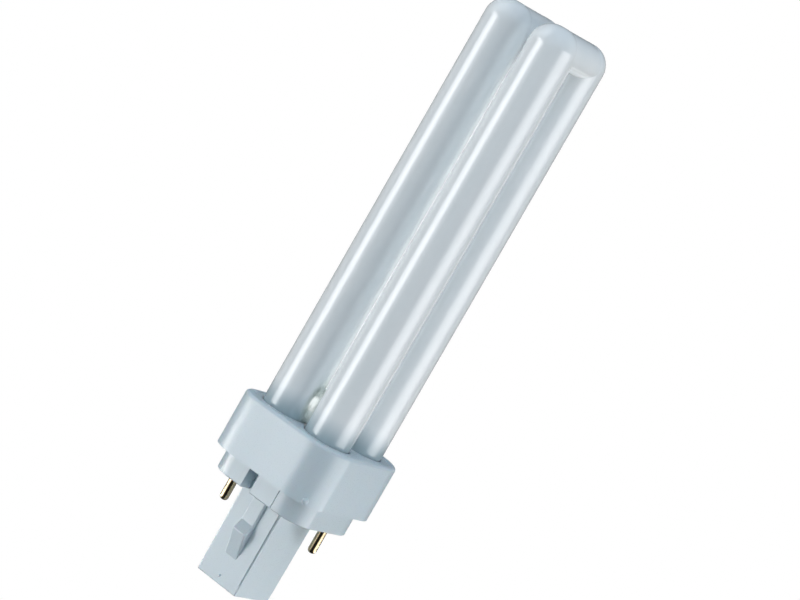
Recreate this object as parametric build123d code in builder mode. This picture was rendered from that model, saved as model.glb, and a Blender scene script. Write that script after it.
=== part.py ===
from math import cos, radians, sin, tan
import os

from build123d import *

os.makedirs("parts", exist_ok=True)

# Overall lengths, from the seating face at Z 0
tube_top = 130.0
post_length = 23.5

# Glass tube
tube_diameter = 12.0
glass_wall = 1.0
limb_pitch = 14.1
limb_insertion = 9.0
limb_end_round = 2.2
bend_height = 8.6
bend_round_share = 0.62
round_limit_share = 0.92
bend_inset = 0.05
bend_under = 3.2
bridge_width = 4.0
bridge_height = 9.4
bridge_lift = 0.2
bridge_waist = 0.4
seal_width = 7.0
seal_thickness = 2.4
seal_length = 3.5
seal_round = 0.8

# Collar
collar_margin = 3.75
collar_corner = 8.2
collar_height = 14.35
collar_wall = 1.6
collar_top_thickness = 2.5
collar_recess = 0.2
collar_rim = 1.7
collar_edge_round = 0.9
limb_clearance = 0.25
nub_radius = 1.0
nub_sink = 0.6
nub_height = 1.0
nub_angle = 47.0
cement_depth = 5.5

# Shoulder of the base cap
shoulder_width = 29.4
shoulder_depth = 26.9
shoulder_corner = 6.6
shoulder_height = 5.7
shoulder_edge_round = 0.4
cap_wall = 1.6
cap_floor = 2.0
flange_thickness = 2.2
flange_clearance = 0.1
notch_offset = 1.9
notch_width = 3.1
notch_depth = 4.0
notch_roof = 0.9

# Post of the base cap
post_width = 13.5
post_depth = 14.8
post_taper = 0.6
post_wall = 1.5
post_edge_round = 0.5
latch_width = 4.2
latch_neck = 0.8
latch_peak = 2.1
latch_neck_end = 7.1
latch_peak_end = 9.7
latch_end = 16.5
latch_edge_round = 0.45
gate_radius = 0.35
gate_height = 1.9

# Mould witness lines
witness_width = 0.25
witness_depth = 0.2
shoulder_witness_x = 6.75
post_witness_inset = 0.55
post_witness_end = 2.7

# Contact pins
pin_diameter = 2.2
pin_length = 7.0
pin_tip_round = 0.9
pin_shank_extra = 0.2
pin_inset = 3.5
pin_y = 5.15
pin_head_thickness = 0.8
pin_head_overlap = 0.2

# Starter and its wires
starter_diameter = 6.4
starter_length = 15.0
starter_end_round = 1.6
capacitor_width = 7.0
capacitor_thickness = 2.2
capacitor_height = 9.0
capacitor_edge_round = 0.6
capacitor_lead_rise = 2.0
seat_clearance = 0.3
wire_diameter = 0.5
wire_spread = 1.5
wire_bend = 0.6
wire_clearance = 0.4

# Derived sizes
tube_radius = tube_diameter / 2
limb_offset = limb_pitch / 2
bar_radius = tube_radius - bend_inset
bend_bottom = tube_top - bend_height
bend_round = min(bend_round_share * bend_height, round_limit_share * tube_radius)
bridge_flare = (limb_pitch - tube_diameter - bridge_waist) / 2
collar_size = limb_pitch + tube_diameter + 2 * collar_margin
collar_bottom = shoulder_height
collar_top = collar_bottom + collar_height
collar_ceiling = collar_top - collar_recess - collar_top_thickness
limb_bottom = collar_top - limb_insertion
seal_bottom = limb_bottom - seal_length
bridge_z = collar_top + bridge_lift + bridge_height / 2
mouth_size = collar_size - 2 * collar_wall
mouth_corner = collar_corner - collar_wall
recess_size = collar_size - 2 * collar_rim
recess_corner = collar_corner - collar_rim
corner_centre = collar_size / 2 - collar_corner
nub_reach = collar_corner - nub_sink
nub_x = corner_centre + nub_reach * sin(radians(nub_angle))
nub_y = -corner_centre - nub_reach * cos(radians(nub_angle))
flange_size = mouth_size - 2 * flange_clearance
cavity_width = shoulder_width - 2 * cap_wall
cavity_depth = shoulder_depth - 2 * cap_wall
cavity_corner = shoulder_corner - cap_wall
cavity_top = collar_bottom + flange_thickness
notch_edge_x = notch_offset + notch_width / 2 + cap_wall
notch_wall_y = (shoulder_depth - notch_depth - cap_wall) / 2
notch_cut_y = (shoulder_depth - notch_depth + cap_wall) / 2
post_front = -post_depth / 2
post_floor = -post_length + post_wall
post_shrink = post_length * tan(radians(post_taper))
post_end_front = post_front + post_shrink
post_witness_x = post_width / 2 - post_witness_inset
pin_x = shoulder_width / 2 - pin_inset
pin_radius = pin_diameter / 2
shank_radius = pin_radius + pin_shank_extra
pin_head_top = cap_floor + pin_head_thickness
post_inner_front = post_end_front + post_wall
starter_y = post_inner_front + seat_clearance + starter_diameter / 2
starter_top = post_floor + starter_length
capacitor_top = post_floor + capacitor_height
capacitor_y = starter_y + starter_diameter / 2 + seat_clearance + capacitor_thickness / 2
capacitor_lead_z = starter_top + capacitor_lead_rise
wire_radius = wire_diameter / 2
lead_y = limb_offset - seal_thickness / 4
pin_lead_x = limb_offset + wire_spread
starter_lead_x = notch_edge_x + wire_clearance + wire_radius
lead_z = (pin_head_top + seal_bottom) / 2


def tube_form(inset):
    """Both squared U-tubes and their bridge, drawn in from the outer glass surface."""
    with BuildPart() as bars:
        with BuildSketch(Plane.XY.offset(bend_bottom + inset)):
            with Locations((-limb_offset, 0), (limb_offset, 0)):
                SlotCenterToCenter(limb_pitch, 2 * (bar_radius - inset), rotation=90)
        extrude(amount=bend_height - bend_inset - 2 * inset)
        fillet(bars.edges().group_by(Axis.Z)[-1], bend_round - bend_inset - inset)
        fillet(bars.edges().group_by(Axis.Z)[0], bend_under - inset)
    with BuildPart() as form:
        with BuildSketch(Plane.XY.offset(limb_bottom + inset)):
            with GridLocations(limb_pitch, limb_pitch, 2, 2):
                Circle(tube_radius - inset)
        extrude(amount=tube_top - limb_bottom - 2 * inset)
        fillet(form.edges().group_by(Axis.Z)[-1], bend_round - inset)
        fillet(form.edges().group_by(Axis.Z)[0], limb_end_round - inset)
        add(bars.part)
        with BuildSketch(Plane.YZ.offset(-limb_offset)):
            with Locations((-limb_offset, bridge_z)):
                Ellipse(bridge_width / 2 - inset, bridge_height / 2 - inset)
        extrude(amount=limb_pitch)
        bridge_low = bridge_z - bridge_height / 2 - glass_wall
        bridge_high = bridge_z + bridge_height / 2 + glass_wall
        fillet(form.edges().filter_by_position(Axis.Z, bridge_low, bridge_high), bridge_flare)
    return form.part


# Discharge tube: two squared U-tubes fused by a bridge, hollow, with two flat end seals
with BuildPart() as discharge_tube:
    add(tube_form(0))
    with BuildSketch(Plane.XY.offset(seal_bottom)):
        with Locations((-limb_offset, limb_offset), (limb_offset, limb_offset)):
            RectangleRounded(seal_width, seal_thickness, seal_round)
    extrude(amount=seal_length + glass_wall / 2)
    add(tube_form(glass_wall), mode=Mode.SUBTRACT)
discharge_tube.part.label = "discharge_tube"
export_step(discharge_tube.part, "parts/discharge_tube.step")

# Collar: a cup with four limb holes in a sunken top and a nub at two corners
with BuildPart() as collar:
    with BuildSketch(Plane.XY.offset(collar_bottom)):
        RectangleRounded(collar_size, collar_size, collar_corner)
    extrude(amount=collar_height)
    fillet(collar.edges().group_by(Axis.Z)[-1], collar_edge_round)
    with BuildSketch(Plane.XY.offset(collar_top - collar_recess)):
        RectangleRounded(recess_size, recess_size, recess_corner)
    extrude(amount=collar_recess, mode=Mode.SUBTRACT)
    with Locations(Plane.XY.offset(collar_bottom + nub_height)):
        with Locations((nub_x, nub_y), (-nub_x, -nub_y)):
            Sphere(nub_radius)
    with BuildSketch(Plane.XY.offset(collar_bottom)):
        RectangleRounded(mouth_size, mouth_size, mouth_corner)
    extrude(amount=collar_ceiling - collar_bottom, mode=Mode.SUBTRACT)
    with BuildSketch(Plane.XY.offset(collar_ceiling)):
        with GridLocations(limb_pitch, limb_pitch, 2, 2):
            Circle(tube_radius + limb_clearance)
    extrude(amount=collar_top_thickness, mode=Mode.SUBTRACT)
collar.part.label = "collar"
export_step(collar.part, "parts/collar.step")

# Cement bed around the limbs, under the top of the collar
with BuildPart() as tube_cement:
    with BuildSketch(Plane.XY.offset(collar_ceiling - cement_depth)):
        RectangleRounded(mouth_size, mouth_size, mouth_corner)
        with GridLocations(limb_pitch, limb_pitch, 2, 2):
            Circle(tube_radius, mode=Mode.SUBTRACT)
    extrude(amount=cement_depth)
tube_cement.part.label = "tube_cement"
export_step(tube_cement.part, "parts/tube_cement.step")

# Latch lugs on the front and back faces of the post: neck, ramp to a peak, taper
with BuildPart() as latch_lugs:
    with BuildSketch(Plane.YZ.offset(-latch_width / 2)):
        with BuildLine():
            Polyline(
                (post_end_front + latch_edge_round, 0),
                (post_front - latch_neck, 0),
                (post_front - latch_neck, -latch_neck_end),
                (post_front - latch_peak, -latch_peak_end),
                (post_end_front, -latch_end),
                (post_end_front + latch_edge_round, -latch_end),
                close=True,
            )
        make_face()
    extrude(amount=latch_width)
    lug_edges = latch_lugs.edges().filter_by_position(Axis.Z, -latch_end, -latch_edge_round)
    proud_edges = lug_edges.filter_by_position(Axis.Y, post_front - latch_peak, post_front - latch_edge_round)
    fillet(proud_edges, latch_edge_round)
    mirror(about=Plane.XZ)

# Base cap: shoulder, flange and hollow post in one moulding, with key notches front and back
with BuildPart() as base_cap:
    with BuildSketch(Plane.XY):
        RectangleRounded(shoulder_width, shoulder_depth, shoulder_corner)
    extrude(amount=collar_bottom)
    fillet(base_cap.edges().group_by(Axis.Z)[0], shoulder_edge_round)
    with BuildSketch(Plane.XY.offset(collar_bottom)):
        RectangleRounded(flange_size, flange_size, mouth_corner)
    extrude(amount=flange_thickness)
    with BuildSketch(Plane.XY.offset(cap_floor)):
        RectangleRounded(cavity_width, cavity_depth, cavity_corner)
    extrude(amount=cavity_top - cap_floor, mode=Mode.SUBTRACT)
    # Walls and cuts of the two key notches
    with BuildSketch(Plane.XY.offset(cap_floor)):
        with Locations((-notch_offset, -notch_wall_y), (notch_offset, notch_wall_y)):
            Rectangle(notch_width + 2 * cap_wall, notch_depth + cap_wall / 2)
    extrude(amount=collar_bottom + notch_roof - cap_floor)
    with BuildSketch(Plane.XY):
        with Locations((-notch_offset, -notch_cut_y), (notch_offset, notch_cut_y)):
            Rectangle(notch_width, notch_depth + cap_wall)
    extrude(amount=collar_bottom, mode=Mode.SUBTRACT)
    # Post with its latch lugs, tapered to a closed end
    with BuildSketch(Plane.XY):
        RectangleRounded(post_width, post_depth, post_edge_round)
    extrude(amount=-post_length, taper=post_taper)
    fillet(base_cap.edges().group_by(Axis.Z)[0], post_edge_round / 2)
    add(latch_lugs.part)
    with BuildSketch(Plane.XY.offset(cap_floor)):
        Rectangle(post_width - 2 * post_wall, post_depth - 2 * post_wall)
    extrude(amount=post_floor - cap_floor, taper=post_taper, mode=Mode.SUBTRACT)
    # Gate mark on the post's front face, near its end
    with Locations((0, post_end_front, -post_length + gate_height)):
        Sphere(gate_radius)
    # Mould witness lines on the shoulder and along the post corners
    with BuildSketch(Plane.XY):
        with Locations((shoulder_witness_x, -shoulder_depth / 2), (-shoulder_witness_x, shoulder_depth / 2)):
            Rectangle(witness_width, 2 * witness_depth)
    extrude(amount=collar_bottom, mode=Mode.SUBTRACT)
    with BuildSketch(Plane.XY.offset(-post_length + post_witness_end)):
        with Locations((post_witness_x, post_front), (-post_witness_x, -post_front)):
            Rectangle(witness_width, 2 * (witness_depth + post_shrink))
    extrude(amount=post_length - post_witness_end, mode=Mode.SUBTRACT)
    # Holes for the contact pins
    with BuildSketch(Plane.XY):
        with Locations((pin_x, pin_y), (-pin_x, -pin_y)):
            Circle(shank_radius)
    extrude(amount=cap_floor, mode=Mode.SUBTRACT)
base_cap.part.label = "base_cap"
export_step(base_cap.part, "parts/base_cap.step")

# Contact pins, one on each side
for side, side_name in ((-1, "left"), (1, "right")):
    with BuildPart() as contact_pin:
        with BuildSketch(Plane.XY.offset(-pin_length)):
            with Locations((side * pin_x, side * pin_y)):
                Circle(pin_radius)
        extrude(amount=pin_length)
        fillet(contact_pin.edges().group_by(Axis.Z)[0], min(pin_tip_round, round_limit_share * pin_radius))
        with BuildSketch(Plane.XY):
            with Locations((side * pin_x, side * pin_y)):
                Circle(shank_radius)
        extrude(amount=cap_floor)
        with BuildSketch(Plane.XY.offset(cap_floor)):
            with Locations((side * pin_x, side * pin_y)):
                Circle(shank_radius + pin_head_overlap)
        extrude(amount=pin_head_thickness)
    contact_pin.part.label = f"contact_pin_{side_name}"
    export_step(contact_pin.part, f"parts/contact_pin_{side_name}.step")

# Glow starter standing on the floor of the post
with BuildPart() as starter_bulb:
    with BuildSketch(Plane.XY.offset(post_floor)):
        with Locations((0, starter_y)):
            Circle(starter_diameter / 2)
    extrude(amount=starter_length)
    fillet(starter_bulb.edges().filter_by(GeomType.CIRCLE), starter_end_round)
starter_bulb.part.label = "starter_bulb"
export_step(starter_bulb.part, "parts/starter_bulb.step")

# Suppression capacitor beside the starter, its two leads reaching the starter's wires
with BuildPart() as starter_capacitor:
    with BuildSketch(Plane.XY.offset(post_floor)):
        with Locations((0, capacitor_y)):
            RectangleRounded(capacitor_width, capacitor_thickness, capacitor_edge_round)
    extrude(amount=capacitor_height)
    fillet(starter_capacitor.edges().group_by(Axis.Z)[-1], capacitor_edge_round)
    with BuildSketch(Plane.XY.offset(capacitor_top - wire_diameter)):
        with Locations((-wire_spread, capacitor_y), (wire_spread, capacitor_y)):
            Circle(wire_radius)
    extrude(amount=capacitor_lead_z - capacitor_top + wire_diameter)
    with BuildSketch(Plane.XZ.offset(-capacitor_y)):
        with Locations((-wire_spread, capacitor_lead_z), (wire_spread, capacitor_lead_z)):
            Circle(wire_radius)
    extrude(amount=capacitor_y - starter_y - wire_radius)
starter_capacitor.part.label = "starter_capacitor"
export_step(starter_capacitor.part, "parts/starter_capacitor.step")

# Lead wires from each sealed limb, one to its contact pin and one to the starter
for side, side_name in ((-1, "left"), (1, "right")):
    with BuildPart() as lead_wire_pin:
        with BuildLine():
            FilletPolyline(
                (side * pin_lead_x, lead_y, seal_bottom),
                (side * pin_lead_x, lead_y, lead_z),
                (side * pin_x, side * pin_y, lead_z),
                (side * pin_x, side * pin_y, pin_head_top),
                radius=wire_bend,
            )
        with BuildSketch(Plane.XY.offset(seal_bottom)):
            with Locations((side * pin_lead_x, lead_y)):
                Circle(wire_radius)
        sweep()
    lead_wire_pin.part.label = f"lead_wire_pin_{side_name}"
    export_step(lead_wire_pin.part, f"parts/lead_wire_pin_{side_name}.step")

    with BuildPart() as lead_wire_starter:
        with BuildLine():
            FilletPolyline(
                (side * starter_lead_x, lead_y, seal_bottom),
                (side * starter_lead_x, lead_y, lead_z),
                (side * wire_spread, starter_y, lead_z),
                (side * wire_spread, starter_y, starter_top),
                radius=wire_bend,
            )
        with BuildSketch(Plane.XY.offset(seal_bottom)):
            with Locations((side * starter_lead_x, lead_y)):
                Circle(wire_radius)
        sweep()
    lead_wire_starter.part.label = f"lead_wire_starter_{side_name}"
    export_step(lead_wire_starter.part, f"parts/lead_wire_starter_{side_name}.step")
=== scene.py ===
import math

import bpy
from mathutils import Matrix, Vector


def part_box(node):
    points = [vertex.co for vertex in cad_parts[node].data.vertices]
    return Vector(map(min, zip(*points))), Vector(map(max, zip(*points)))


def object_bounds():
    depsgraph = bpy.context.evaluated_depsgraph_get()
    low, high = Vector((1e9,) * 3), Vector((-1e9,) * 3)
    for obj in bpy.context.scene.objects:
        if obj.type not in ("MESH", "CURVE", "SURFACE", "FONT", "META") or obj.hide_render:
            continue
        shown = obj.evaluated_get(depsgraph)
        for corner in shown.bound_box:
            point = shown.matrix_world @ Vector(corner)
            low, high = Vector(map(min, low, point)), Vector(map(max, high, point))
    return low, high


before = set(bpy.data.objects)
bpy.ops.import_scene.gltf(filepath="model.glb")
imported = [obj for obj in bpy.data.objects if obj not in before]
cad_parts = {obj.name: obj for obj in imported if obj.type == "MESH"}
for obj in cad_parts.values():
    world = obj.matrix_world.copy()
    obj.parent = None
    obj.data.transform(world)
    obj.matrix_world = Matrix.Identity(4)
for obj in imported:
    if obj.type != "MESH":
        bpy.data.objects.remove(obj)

cad_low, cad_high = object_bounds()
MM = 0.001

# Places read from the frame
tube_low, tube_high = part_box("discharge_tube")
collar_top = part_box("collar")[1].z
floor_height = cad_low.z

# Camera of the photograph: angles in degrees, sensor in millimetres, focal length and image in pixels
camera_azimuth = 31.856
camera_distance = 640.0 * MM
camera_height = 128.187 * MM
camera_pan = -0.066
camera_tilt = -6.457
camera_roll = 29.927
camera_clip = camera_distance / 100
sensor_width = 36.0
focal_pixels = 2740.1
image_width = 800


def direction(azimuth, elevation):
    """Unit vector away from the lamp, by degrees round its axis from the front and degrees upwards."""
    turn = math.radians(azimuth)
    rise = math.radians(elevation)
    return Vector((math.sin(turn) * math.cos(rise), -math.cos(turn) * math.cos(rise), math.sin(rise)))


def look_from_photograph():
    """Camera beside the lamp, level with its tip, rolled as the lamp leans in the picture."""
    heading = camera_azimuth + camera_pan
    backward = direction(heading, -camera_tilt)
    right = direction(heading + 90, 0)
    up = backward.cross(right)
    roll = math.radians(camera_roll)
    axes = (
        right * math.cos(roll) + up * math.sin(roll),
        up * math.cos(roll) - right * math.sin(roll),
        backward,
    )
    place = direction(camera_azimuth, 0) * camera_distance + Vector((0, 0, camera_height))
    data = bpy.data.cameras.new("photo_camera")
    data.sensor_width = sensor_width
    data.lens = sensor_width * focal_pixels / image_width
    data.clip_start = camera_clip
    camera = bpy.data.objects.new("photo_camera", data)
    camera.matrix_world = Matrix.Translation(place) @ Matrix(axes).transposed().to_4x4()
    bpy.context.scene.collection.objects.link(camera)
    bpy.context.scene.camera = camera


# Node materials: the span of most noise values, noise roughness, and the full share of a spot's reach
noise_span = (0.3, 0.7)
noise_roughness = 0.55
spot_core = 0.55


class Nodes:
    """A material's node tree, with short calls to add and join nodes."""

    def __init__(self, name):
        self.material = bpy.data.materials.new(name)
        self.material.use_nodes = True
        self.tree = self.material.node_tree
        self.shader = self.tree.nodes["Principled BSDF"]
        self.place = self.add("ShaderNodeTexCoord").outputs["Object"]

    def add(self, kind, **settings):
        """A new node with its settings."""
        node = self.tree.nodes.new(kind)
        for key, value in settings.items():
            setattr(node, key, value)
        return node

    def join(self, source, target):
        """A link from one node's socket to another's."""
        self.tree.links.new(source, target)

    def feed(self, source, socket):
        """A link to one of the shader's sockets."""
        self.join(source, self.shader.inputs[socket])

    def set(self, **values):
        """Values on the shader's sockets, an underscore for each space in a socket's name."""
        for key, value in values.items():
            self.shader.inputs[key.replace("_", " ")].default_value = value

    def stretched(self, x, y, z):
        """Object coordinates times a factor on each axis."""
        mapping = self.add("ShaderNodeMapping")
        mapping.inputs["Scale"].default_value = (x, y, z)
        self.join(self.place, mapping.inputs["Vector"])
        return mapping.outputs["Vector"]

    def height(self):
        """Height in the lamp's frame."""
        node = self.add("ShaderNodeSeparateXYZ")
        self.join(self.place, node.inputs["Vector"])
        return node.outputs["Z"]

    def noise(self, vector, scale, detail):
        """Noise over a vector."""
        node = self.add("ShaderNodeTexNoise")
        node.inputs["Scale"].default_value = scale
        node.inputs["Detail"].default_value = detail
        node.inputs["Roughness"].default_value = noise_roughness
        self.join(vector, node.inputs["Vector"])
        return node.outputs["Fac"]

    def spread(self, value, onto, span=noise_span, smooth=False):
        """A span of a value laid onto another span."""
        node = self.add("ShaderNodeMapRange")
        node.interpolation_type = "SMOOTHSTEP" if smooth else "LINEAR"
        for key, number in zip(("From Min", "From Max", "To Min", "To Max"), (*span, *onto)):
            node.inputs[key].default_value = number
        self.join(value, node.inputs["Value"])
        return node.outputs["Result"]

    def mix(self, amount, first, second):
        """Two colours mixed, each given as numbers or by a socket."""
        node = self.add("ShaderNodeMix", data_type="RGBA")
        self.join(amount, node.inputs["Factor"])
        for key, colour in (("A", first), ("B", second)):
            socket = next(s for s in node.inputs if s.name == key and s.type == "RGBA")
            if isinstance(colour, tuple):
                socket.default_value = (*colour, 1)
            else:
                self.join(colour, socket)
        return next(s for s in node.outputs if s.type == "RGBA")

    def tones(self, value, first, second, span=noise_span):
        """One colour turning into another as a value rises through its span."""
        return self.mix(self.spread(value, (0.0, 1.0), span), first, second)

    def near(self, centre, reach):
        """1 at a place and 0 beyond its reach, an ellipsoid."""
        offset = self.add("ShaderNodeVectorMath", operation="SUBTRACT")
        offset.inputs[1].default_value = centre
        self.join(self.place, offset.inputs[0])
        scaled = self.add("ShaderNodeVectorMath", operation="DIVIDE")
        scaled.inputs[1].default_value = reach
        self.join(offset.outputs["Vector"], scaled.inputs[0])
        length = self.add("ShaderNodeVectorMath", operation="LENGTH")
        self.join(scaled.outputs["Vector"], length.inputs[0])
        return self.spread(length.outputs["Value"], (1.0, 0.0), (spot_core, 1.0), smooth=True)

    def bump(self, value, depth, strength, socket="Normal"):
        """Relief from a value on one of the shader's normals."""
        node = self.add("ShaderNodeBump")
        node.inputs["Distance"].default_value = depth
        node.inputs["Strength"].default_value = strength
        self.join(value, node.inputs["Height"])
        self.feed(node.outputs["Normal"], socket)


# Materials: the bare glass at the bridge, and how far above the collar the coat thins and shade is painted
bridge_inset = 6.0 * MM
bridge_rise = 4.9 * MM
bridge_place = (0.0, tube_low.y + bridge_inset, collar_top + bridge_rise)
bridge_reach = (2.6 * MM, 4.5 * MM, 8.0 * MM)
coat_thinning_and_shade_height = 7.0 * MM


def coated_glass():
    """Clear glass over a white powder coat; near the collar a thinner coat with painted shade and painted
    reflection of the collar, and bare greenish glass with painted glints at the melted bridge.
    """
    powder_white = (0.865, 0.915, 0.94)
    powder_bright = (0.89, 0.935, 0.955)
    cloud_white = (0.865, 0.92, 0.95)
    # Grey-blue near the collar: partly a thinner coat, partly painted shade and painted reflection of the
    # collar
    coat_thinning_and_shade_grey = (0.41, 0.51, 0.55)
    # Bare greenish bridge glass: its dark and bright tones are painted glints
    bridge_dark_glint_green = (0.44, 0.50, 0.46)
    bridge_bright_glint_green = (0.68, 0.74, 0.70)
    m = Nodes("coated_glass")
    powder = m.noise(m.stretched(1, 1, 0.35), scale=260.0, detail=4.0)
    cloud = m.noise(m.stretched(1, 1, 0.3), scale=45.0, detail=2.0)
    glint = m.noise(m.stretched(1.5, 1.5, 0.5), scale=600.0, detail=2.0)
    drawn = m.noise(m.stretched(1, 1, 0.04), scale=130.0, detail=2.0)
    white = m.tones(powder, powder_white, powder_bright, span=(0.35, 0.65))
    white = m.mix(m.spread(cloud, onto=(0.0, 0.5), span=(0.35, 0.7)), white, cloud_white)
    # Darker towards the collar: a thinner coat with painted shade and painted reflection of the collar
    foot = m.spread(m.height(), onto=(1.0, 0.0), span=(collar_top, collar_top + coat_thinning_and_shade_height), smooth=True)
    white = m.mix(foot, white, coat_thinning_and_shade_grey)
    # Bare greenish glass at the bridge, with painted dark and bright glints
    green = m.tones(glint, bridge_dark_glint_green, bridge_bright_glint_green, span=(0.36, 0.55))
    m.feed(m.mix(m.near(bridge_place, bridge_reach), white, green), "Base Color")
    m.feed(m.spread(powder, onto=(0.45, 0.6)), "Roughness")
    m.set(Specular_IOR_Level=0.0, Coat_Weight=1.0, Coat_Roughness=0.03, Coat_IOR=1.8)
    m.set(Subsurface_Weight=0.3, Subsurface_Radius=(1.0, 1.0, 1.0), Subsurface_Scale=0.7 * MM)
    m.bump(drawn, depth=0.25 * MM, strength=0.12, socket="Coat Normal")
    return m.material


def white_plastic():
    """Moulded plastic, faintly blue, with a fine matt skin and slow flow marks."""
    plain_white = (0.56, 0.66, 0.715)
    flow_white = (0.595, 0.695, 0.75)
    m = Nodes("white_plastic")
    flow = m.noise(m.stretched(1, 1, 0.4), scale=70.0, detail=3.0)
    skin = m.noise(m.place, scale=5200.0, detail=2.0)
    m.feed(m.tones(flow, plain_white, flow_white), "Base Color")
    m.feed(m.spread(skin, onto=(0.26, 0.36)), "Roughness")
    m.set(Subsurface_Weight=0.12, Subsurface_Scale=0.6 * MM, IOR=1.62)
    m.bump(skin, depth=0.02 * MM, strength=0.25)
    return m.material


def pin_brass():
    """Drawn brass wire, with lines along it and a slight tarnish."""
    clean_brass = (0.62, 0.50, 0.31)
    dull_brass = (0.36, 0.29, 0.19)
    m = Nodes("pin_brass")
    lines = m.noise(m.stretched(1, 1, 0.05), scale=2600.0, detail=3.0)
    tarnish = m.noise(m.place, scale=420.0, detail=3.0)
    m.feed(m.tones(tarnish, clean_brass, dull_brass, span=(0.4, 0.7)), "Base Color")
    m.feed(m.spread(lines, onto=(0.10, 0.22)), "Roughness")
    m.set(Metallic=1.0)
    m.bump(lines, depth=0.03 * MM, strength=0.1)
    return m.material


def cement():
    """Gritty grey-white cement."""
    dark_grit = (0.50, 0.49, 0.46)
    pale_grit = (0.72, 0.71, 0.68)
    m = Nodes("cement")
    grit = m.noise(m.place, scale=1800.0, detail=4.0)
    m.feed(m.tones(grit, dark_grit, pale_grit), "Base Color")
    m.feed(m.spread(grit, onto=(0.8, 0.95)), "Roughness")
    m.bump(grit, depth=0.2 * MM, strength=0.5)
    return m.material


def starter_glass():
    """Small glass bulb with a smoky deposit."""
    clear_grey = (0.62, 0.66, 0.64)
    smoke_grey = (0.38, 0.38, 0.36)
    m = Nodes("starter_glass")
    smoke = m.noise(m.place, scale=300.0, detail=3.0)
    m.feed(m.tones(smoke, clear_grey, smoke_grey, span=(0.35, 0.7)), "Base Color")
    m.feed(m.spread(smoke, onto=(0.06, 0.16)), "Roughness")
    m.set(Coat_Weight=1.0, Coat_Roughness=0.02)
    return m.material


def capacitor_case():
    """Dipped orange-brown case with an uneven skin."""
    dark_brown = (0.42, 0.17, 0.05)
    orange_brown = (0.55, 0.25, 0.08)
    m = Nodes("capacitor_case")
    dip = m.noise(m.place, scale=650.0, detail=3.0)
    m.feed(m.tones(dip, dark_brown, orange_brown), "Base Color")
    m.feed(m.spread(dip, onto=(0.25, 0.4)), "Roughness")
    m.bump(dip, depth=0.1 * MM, strength=0.3)
    return m.material


def lead_wire():
    """Dull tinned wire."""
    dull_tin = (0.50, 0.48, 0.45)
    bright_tin = (0.70, 0.68, 0.64)
    m = Nodes("lead_wire")
    lines = m.noise(m.place, scale=3000.0, detail=3.0)
    m.feed(m.tones(lines, dull_tin, bright_tin), "Base Color")
    m.feed(m.spread(lines, onto=(0.3, 0.5)), "Roughness")
    m.set(Metallic=1.0)
    return m.material


# Each material and the nodes that wear it
worn_by = {
    coated_glass: ("discharge_tube",),
    white_plastic: ("collar", "base_cap"),
    pin_brass: ("contact_pin_left", "contact_pin_right"),
    cement: ("tube_cement",),
    starter_glass: ("starter_bulb",),
    capacitor_case: ("starter_capacitor",),
    lead_wire: (
        "lead_wire_pin_left",
        "lead_wire_pin_right",
        "lead_wire_starter_left",
        "lead_wire_starter_right",
    ),
}
for make, names in worn_by.items():
    material = make()
    for name in names:
        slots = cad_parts[name].data.materials
        slots.clear()
        slots.append(material)


# Studio: a white sweep that only the camera sees, flat lights and a faint surround
sweep_radius = 4.0
sweep_steps = 24
sweep_sides = 64
lamp_aim = Vector((0, 0, 45.0 * MM))
light_distance = 1.2
power_per_radiance = 4
strip_width = 3.0 * MM
strip_below_tip = 12.0 * MM
surround_colour = (0.80, 0.93, 1.0, 1)
surround_strength = 0.02


def sweep():
    """A round floor that rises into a dome, plain white."""
    profile = [(sweep_radius * i / sweep_steps, floor_height) for i in range(sweep_steps)]
    for i in range(sweep_steps + 1):
        angle = math.pi / 2 * i / sweep_steps
        profile.append((sweep_radius * math.cos(angle), floor_height + sweep_radius * math.sin(angle)))
    points = []
    for radius, height in profile:
        for k in range(sweep_sides):
            turn = 2 * math.pi * k / sweep_sides
            points.append((radius * math.cos(turn), radius * math.sin(turn), height))
    faces = []
    for ring in range(len(profile) - 1):
        inner = ring * sweep_sides
        outer = inner + sweep_sides
        for k in range(sweep_sides):
            after = (k + 1) % sweep_sides
            faces.append((inner + k, inner + after, outer + after, outer + k))
    mesh = bpy.data.meshes.new("sweep")
    mesh.from_pydata(points, [], faces)
    m = Nodes("sweep_white")
    m.set(Base_Color=(0, 0, 0, 1), Specular_IOR_Level=0.0)
    m.set(Emission_Color=(1, 1, 1, 1), Emission_Strength=1.0)
    mesh.materials.append(m.material)
    obj = bpy.data.objects.new("sweep", mesh)
    obj.visible_diffuse = False
    obj.visible_glossy = False
    obj.visible_transmission = False
    obj.visible_shadow = False
    bpy.context.scene.collection.objects.link(obj)


def surround():
    """Faint bluish light from every side."""
    world = bpy.data.worlds.new("surround")
    world.use_nodes = True
    background = world.node_tree.nodes["Background"]
    background.inputs["Color"].default_value = surround_colour
    background.inputs["Strength"].default_value = surround_strength
    bpy.context.scene.world = world


def flat_light(name, wide, tall, radiance, colour):
    """A flat light that the camera doesn't see, sized in metres."""
    data = bpy.data.lights.new(name, "AREA")
    data.shape = "RECTANGLE"
    data.size = wide
    data.size_y = tall
    data.energy = power_per_radiance * radiance * data.size * data.size_y
    data.color = colour
    light = bpy.data.objects.new(name, data)
    light.visible_camera = False
    bpy.context.scene.collection.objects.link(light)
    return light


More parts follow.
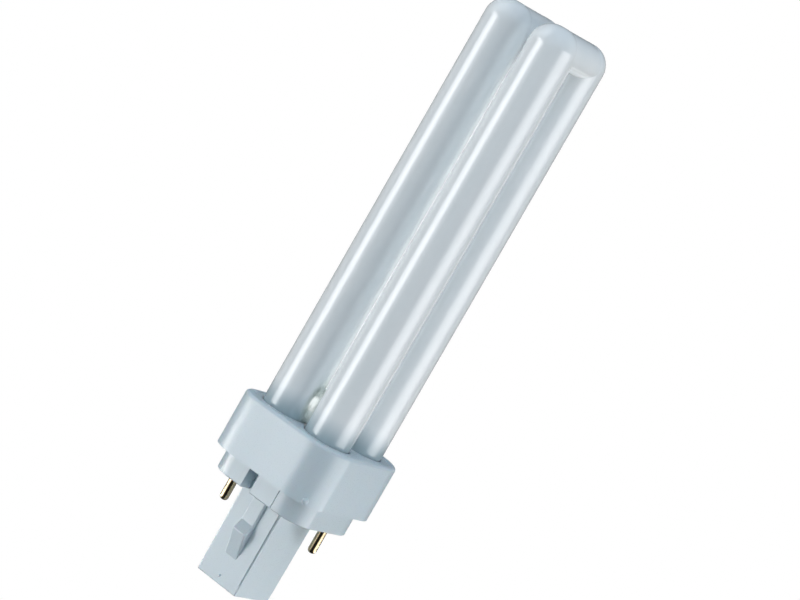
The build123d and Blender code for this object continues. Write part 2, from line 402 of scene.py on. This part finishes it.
def fade(data, soft):
    """Lets a light's brightness fall off towards its left and right edges."""
    half_width = 0.5
    data.use_nodes = True
    tree = data.node_tree
    emission = next(n for n in tree.nodes if n.type == "EMISSION")
    geometry = tree.nodes.new("ShaderNodeNewGeometry")
    across = tree.nodes.new("ShaderNodeSeparateXYZ")
    inward = tree.nodes.new("ShaderNodeMath")
    inward.operation = "PINGPONG"
    inward.inputs[1].default_value = half_width
    fall = tree.nodes.new("ShaderNodeMapRange")
    fall.interpolation_type = "SMOOTHSTEP"
    fall.inputs["From Max"].default_value = soft * half_width
    tree.links.new(geometry.outputs["Parametric"], across.inputs["Vector"])
    tree.links.new(across.outputs["X"], inward.inputs[0])
    tree.links.new(inward.outputs["Value"], fall.inputs["Value"])
    tree.links.new(fall.outputs["Result"], emission.inputs["Strength"])


def studio_light(name, at, size, radiance, soft, colour=(1, 1, 1), gloss=True, diffuse=True):
    """A flat light that faces the lamp, placed and sized by angles."""
    azimuth, elevation = at
    away = direction(camera_azimuth + azimuth, elevation)
    wide, tall = (2 * light_distance * math.tan(math.radians(angle / 2)) for angle in size)
    light = flat_light(name, wide, tall, radiance, colour)
    light.location = lamp_aim + away * light_distance
    light.rotation_euler = (-away).to_track_quat("-Z", "Y").to_euler()
    light.visible_glossy = gloss
    light.visible_diffuse = diffuse
    fade(light.data, soft)


def light_between_limbs(radiance, colour):
    """Strips on the lamp's axis, for the light that coated glass carries into the gaps between its limbs."""
    strip_top = tube_high.z - strip_below_tip
    for turn in (45, 135, 225, 315):
        light = flat_light("between_limbs", strip_width, strip_top - collar_top, radiance, colour)
        light.location = (0, 0, (collar_top + strip_top) / 2)
        light.rotation_euler = (math.radians(90), 0, math.radians(turn))
        light.visible_glossy = False


look_from_photograph()
sweep()
surround()

# Lights by degrees: azimuth to the right of the camera and elevation, then width and height
warm = (1, 0.95, 0.9)
amber = (1, 0.92, 0.86)
cool = (0.92, 0.98, 1)
sky = (0.80, 0.90, 1)
deep_sky = (0.75, 0.87, 1)
studio_light("key_left", at=(-68, -6), size=(40, 36), radiance=2.5, soft=0.4)
studio_light("streak_left", at=(-66, -2), size=(14, 22), radiance=1.2, soft=0.6, diffuse=False)
studio_light("soft_left", at=(-50, -4), size=(40, 26), radiance=0.8, soft=0.8)
studio_light("top_left", at=(-86, 34), size=(48, 56), radiance=0.5, soft=0.5)
studio_light("low_left", at=(-98, -40), size=(72, 24), radiance=1.4, soft=0.3, colour=cool)
studio_light("corner_left", at=(-96, -22), size=(36, 14), radiance=19.0, soft=0.9, colour=warm, diffuse=False)
studio_light("corner_right", at=(102, -22), size=(20, 14), radiance=10.0, soft=0.9, diffuse=False)
studio_light("soft_right", at=(70, -4), size=(77, 36), radiance=2.25, soft=0.9)
studio_light("low_right", at=(96, -36), size=(70, 26), radiance=1.7, soft=0.3)
studio_light("top_front", at=(4, 28), size=(50, 44), radiance=1.05, soft=0.3, colour=sky, gloss=False)
studio_light("top", at=(0, 80), size=(50, 50), radiance=1.7, soft=0.3, colour=deep_sky, gloss=False)
studio_light("rear", at=(180, 4), size=(100, 96), radiance=0.8, soft=0.3, gloss=False)
light_between_limbs(radiance=0.9, colour=amber)
bpy.context.scene.view_settings.view_transform = "Standard"
